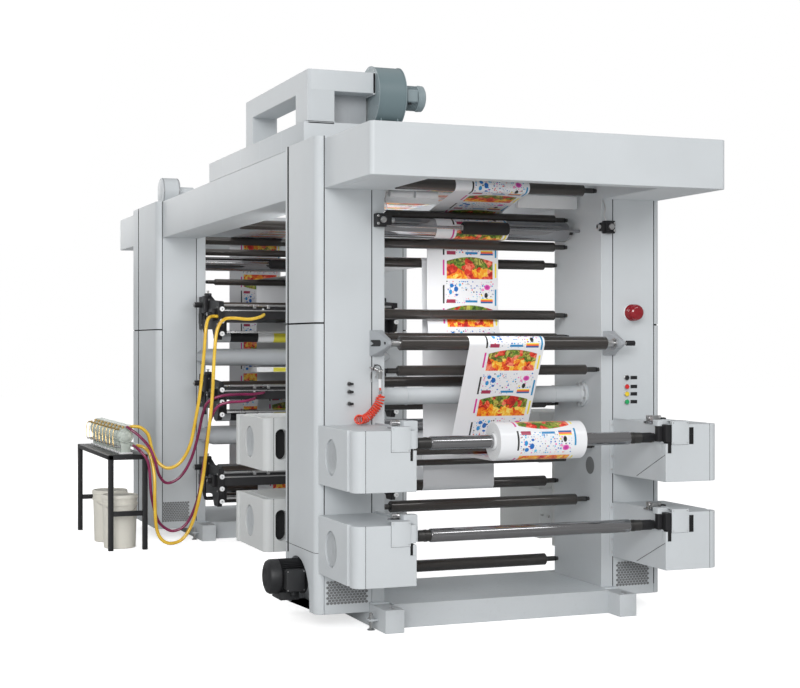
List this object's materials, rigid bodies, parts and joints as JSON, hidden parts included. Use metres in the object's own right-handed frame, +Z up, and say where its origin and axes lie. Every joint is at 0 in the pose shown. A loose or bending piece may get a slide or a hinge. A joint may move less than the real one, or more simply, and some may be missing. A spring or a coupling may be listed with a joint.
{
  "type": "flexographic printing press",
  "caption": "Roll-to-roll flexographic press: a tall grey winding frame with rollers and a film roll, joined overhead to a rear frame with printing stations.",
  "frame": {"origin": "on the floor under the front base's cross beam, in the middle of the web's width", "axes": "+X to the right seen from the winding side, +Y back towards the printing frame, +Z up"},
  "size_m": [2.918, 7.2016, 3.4469],
  "materials": {
    "paint": "satin",
    "cream": "satin",
    "fan": "satin",
    "anodised": "satin",
    "steel": "polished",
    "rubber": "matt",
    "film": "gloss",
    "deck": "satin",
    "plate": "satin",
    "lens": "gloss",
    "pail": "satin",
    "yellow_hose": "satin",
    "magenta_hose": "satin"
  },
  "bodies": {
    "press_frame": {"beacon": "lens", "curly_air_hose": "rubber", "drive_motor": "deck", "exhaust_fan": "fan", "exhaust_hood": "paint", "film_web": "film", "front_base": "paint", "front_canopy": "paint", "front_left_column": "paint", "front_right_column": "paint", "ink_pail_1": "pail", "ink_pail_2": "pail", "ink_stand": "deck", "left_side_beam": "paint", "left_unwind_carrier": "cream", "lower_left_winding_arm": "paint", "lower_magenta_hose": "magenta_hose", "lower_print_deck": "deck", "lower_right_winding_arm": "paint", "lower_yellow_hose": "yellow_hose", "middle_print_deck": "deck", "rear_base": "paint", "rear_canopy": "paint", "rear_left_column": "paint", "rear_right_column": "paint", "right_side_beam": "paint", "right_unwind_carrier": "cream", "tie_tube": "paint", "upper_left_winding_arm": "paint", "upper_magenta_hose": "magenta_hose", "upper_print_deck": "deck", "upper_right_winding_arm": "paint", "upper_yellow_hose": "yellow_hose"},
    "canopy_roller_body": {"canopy_roller": "anodised"},
    "upper_guide_roller_body": {"upper_guide_roller": "anodised"},
    "draw_guide_roller_body": {"draw_guide_roller": "anodised"},
    "feed_guide_roller_body": {"feed_guide_roller": "anodised"},
    "drop_guide_roller_body": {"drop_guide_roller": "anodised"},
    "turning_roller_body": {"turning_roller": "anodised"},
    "cross_guide_roller_body": {"cross_guide_roller": "anodised"},
    "middle_guide_roller_body": {"middle_guide_roller": "anodised"},
    "lay_roller_body": {"lay_roller": "anodised"},
    "entry_guide_roller_body": {"entry_guide_roller": "anodised"},
    "lower_guide_roller_body": {"lower_guide_roller": "anodised"},
    "floor_guide_roller_body": {"floor_guide_roller": "anodised"},
    "rear_entry_roller_body": {"rear_entry_roller": "anodised"},
    "rear_lower_roller_body": {"rear_lower_roller": "anodised"},
    "rear_return_roller_body": {"rear_return_roller": "anodised"},
    "rear_top_roller_body": {"rear_top_roller": "anodised"},
    "long_run_roller_body": {"long_run_roller": "anodised"},
    "drive_roller_body": {"drive_roller": "steel"},
    "front_roller_body": {"front_roller": "anodised"},
    "nip_roller_body": {"nip_roller": "rubber"},
    "upper_plate_cylinder_body": {"upper_plate_cylinder": "plate"},
    "middle_plate_cylinder_body": {"middle_plate_cylinder": "plate"},
    "lower_plate_cylinder_body": {"lower_plate_cylinder": "plate"},
    "lower_winding_shaft_body": {"lower_winding_shaft": "steel"},
    "upper_winding_shaft_body": {"upper_winding_shaft": "steel", "film_roll": "film"},
    "unwind_shaft_body": {"unwind_shaft": "steel"}
  },
  "joints": [
    {"name": "canopy_roller_spin", "type": "hinge", "parent": "press_frame", "child": "canopy_roller_body", "pos_m": [0, 0.07, 2.662], "axis": [1, 0, 0], "continuous": true},
    {"name": "upper_guide_roller_spin", "type": "hinge", "parent": "press_frame", "child": "upper_guide_roller_body", "pos_m": [0, 0.47, 2.504], "axis": [1, 0, 0], "continuous": true},
    {"name": "draw_guide_roller_spin", "type": "hinge", "parent": "press_frame", "child": "draw_guide_roller_body", "pos_m": [0, 0.475, 2.325], "axis": [1, 0, 0], "continuous": true},
    {"name": "feed_guide_roller_spin", "type": "hinge", "parent": "press_frame", "child": "feed_guide_roller_body", "pos_m": [0, 0.627, 2.213], "axis": [1, 0, 0], "continuous": true},
    {"name": "drop_guide_roller_spin", "type": "hinge", "parent": "press_frame", "child": "drop_guide_roller_body", "pos_m": [0, 0.473, 1.874], "axis": [1, 0, 0], "continuous": true},
    {"name": "turning_roller_spin", "type": "hinge", "parent": "press_frame", "child": "turning_roller_body", "pos_m": [0, 0.45, 1.731], "axis": [1, 0, 0], "continuous": true},
    {"name": "cross_guide_roller_spin", "type": "hinge", "parent": "press_frame", "child": "cross_guide_roller_body", "pos_m": [0, 0.034, 1.523], "axis": [1, 0, 0], "continuous": true},
    {"name": "middle_guide_roller_spin", "type": "hinge", "parent": "press_frame", "child": "middle_guide_roller_body", "pos_m": [0, 0.605, 1.289], "axis": [1, 0, 0], "continuous": true},
    {"name": "lay_roller_spin", "type": "hinge", "parent": "press_frame", "child": "lay_roller_body", "pos_m": [0, 0.1, 1.035], "axis": [1, 0, 0], "continuous": true},
    {"name": "entry_guide_roller_spin", "type": "hinge", "parent": "press_frame", "child": "entry_guide_roller_body", "pos_m": [0, 0.605, 0.771], "axis": [1, 0, 0], "continuous": true},
    {"name": "lower_guide_roller_spin", "type": "hinge", "parent": "press_frame", "child": "lower_guide_roller_body", "pos_m": [0, 0.167, 0.689], "axis": [1, 0, 0], "continuous": true},
    {"name": "floor_guide_roller_spin", "type": "hinge", "parent": "press_frame", "child": "floor_guide_roller_body", "pos_m": [0, 0.605, 0.247], "axis": [1, 0, 0], "continuous": true},
    {"name": "rear_entry_roller_spin", "type": "hinge", "parent": "press_frame", "child": "rear_entry_roller_body", "pos_m": [0, 4.5, 2.229], "axis": [1, 0, 0], "continuous": true},
    {"name": "rear_lower_roller_spin", "type": "hinge", "parent": "press_frame", "child": "rear_lower_roller_body", "pos_m": [0, 4.52, 0.33], "axis": [1, 0, 0], "continuous": true},
    {"name": "rear_return_roller_spin", "type": "hinge", "parent": "press_frame", "child": "rear_return_roller_body", "pos_m": [0, 5.42, 0.33], "axis": [1, 0, 0], "continuous": true},
    {"name": "rear_top_roller_spin", "type": "hinge", "parent": "press_frame", "child": "rear_top_roller_body", "pos_m": [0, 5.42, 2.655], "axis": [1, 0, 0], "continuous": true},
    {"name": "long_run_roller_spin", "type": "hinge", "parent": "press_frame", "child": "long_run_roller_body", "pos_m": [0, 3.45, 2.655], "axis": [1, 0, 0], "continuous": true},
    {"name": "drive_roller_spin", "type": "hinge", "parent": "press_frame", "child": "drive_roller_body", "pos_m": [0, 0.4, 2.42], "axis": [1, 0, 0], "continuous": true},
    {"name": "front_roller_spin", "type": "hinge", "parent": "press_frame", "child": "front_roller_body", "pos_m": [0, -0.13, 1.69], "axis": [1, 0, 0], "continuous": true},
    {"name": "nip_roller_spin", "type": "hinge", "parent": "press_frame", "child": "nip_roller_body", "pos_m": [0, 0.2924, 2.42], "axis": [1, 0, 0], "continuous": true},
    {"name": "upper_plate_cylinder_spin", "type": "hinge", "parent": "press_frame", "child": "upper_plate_cylinder_body", "pos_m": [0, 4.381, 1.95], "axis": [1, 0, 0], "continuous": true},
    {"name": "middle_plate_cylinder_spin", "type": "hinge", "parent": "press_frame", "child": "middle_plate_cylinder_body", "pos_m": [0, 4.381, 1.28], "axis": [1, 0, 0], "continuous": true},
    {"name": "lower_plate_cylinder_spin", "type": "hinge", "parent": "press_frame", "child": "lower_plate_cylinder_body", "pos_m": [0, 4.381, 0.56], "axis": [1, 0, 0], "continuous": true},
    {"name": "lower_winding_shaft_spin", "type": "hinge", "parent": "press_frame", "child": "lower_winding_shaft_body", "pos_m": [0, -0.5, 0.592], "axis": [1, 0, 0], "continuous": true},
    {"name": "upper_winding_shaft_spin", "type": "hinge", "parent": "press_frame", "child": "upper_winding_shaft_body", "pos_m": [0, -0.5, 1.119], "axis": [1, 0, 0], "continuous": true},
    {"name": "unwind_shaft_spin", "type": "hinge", "parent": "press_frame", "child": "unwind_shaft_body", "pos_m": [0, 1.45, 1.119], "axis": [1, 0, 0], "continuous": true}
  ]
}
